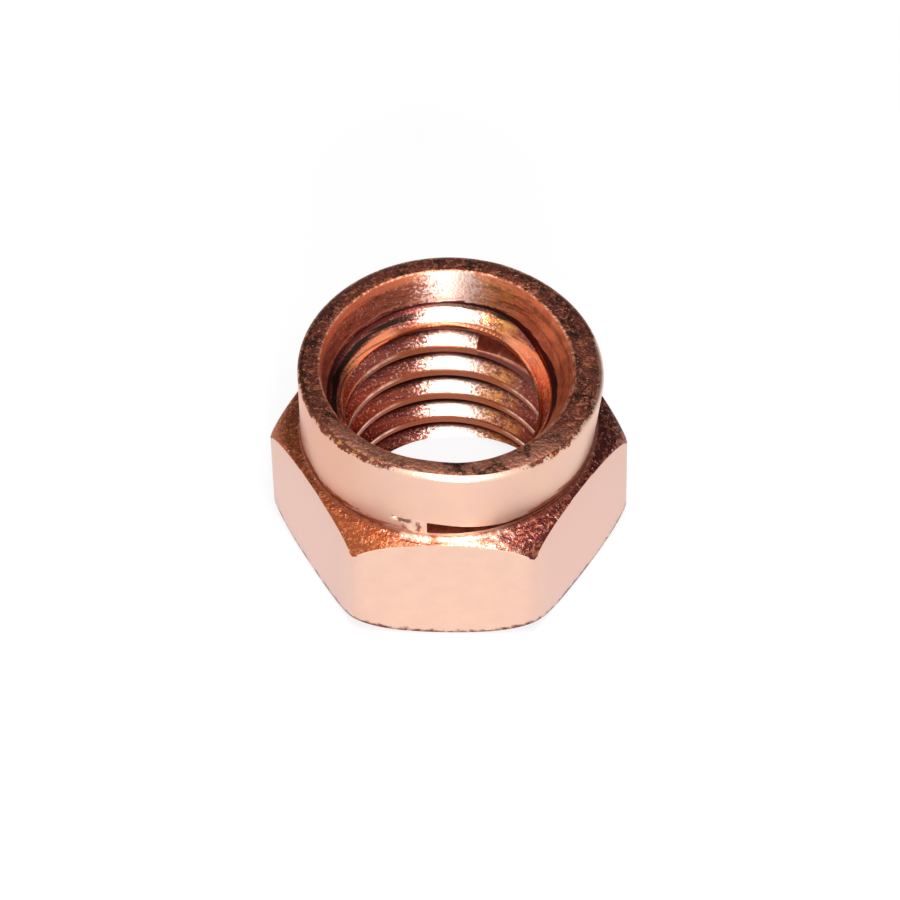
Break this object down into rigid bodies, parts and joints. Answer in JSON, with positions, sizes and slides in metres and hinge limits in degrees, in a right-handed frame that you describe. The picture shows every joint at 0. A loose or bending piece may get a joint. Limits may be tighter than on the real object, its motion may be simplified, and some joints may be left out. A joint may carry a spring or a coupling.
{
  "type": "exhaust nut",
  "caption": "Self-locking hexagon nut with a round collar that is sawn on one side and pressed down to grip the thread, in copper-plated steel.",
  "frame": {"origin": "middle of the flat bearing face, on the thread's axis", "axes": "+Z along the thread from the bearing face to the collar; +X through a corner of the hexagon, on the side where the collar is pressed down"},
  "size_m": [0.015, 0.013, 0.0096],
  "materials": {
    "copper_plated_steel": "thin copper plating, satin on the hexagon and collar side, darkened on the collar's top and the crown"
  },
  "bodies": {
    "root": {"exhaust_nut": "copper_plated_steel"}
  },
  "joints": []
}
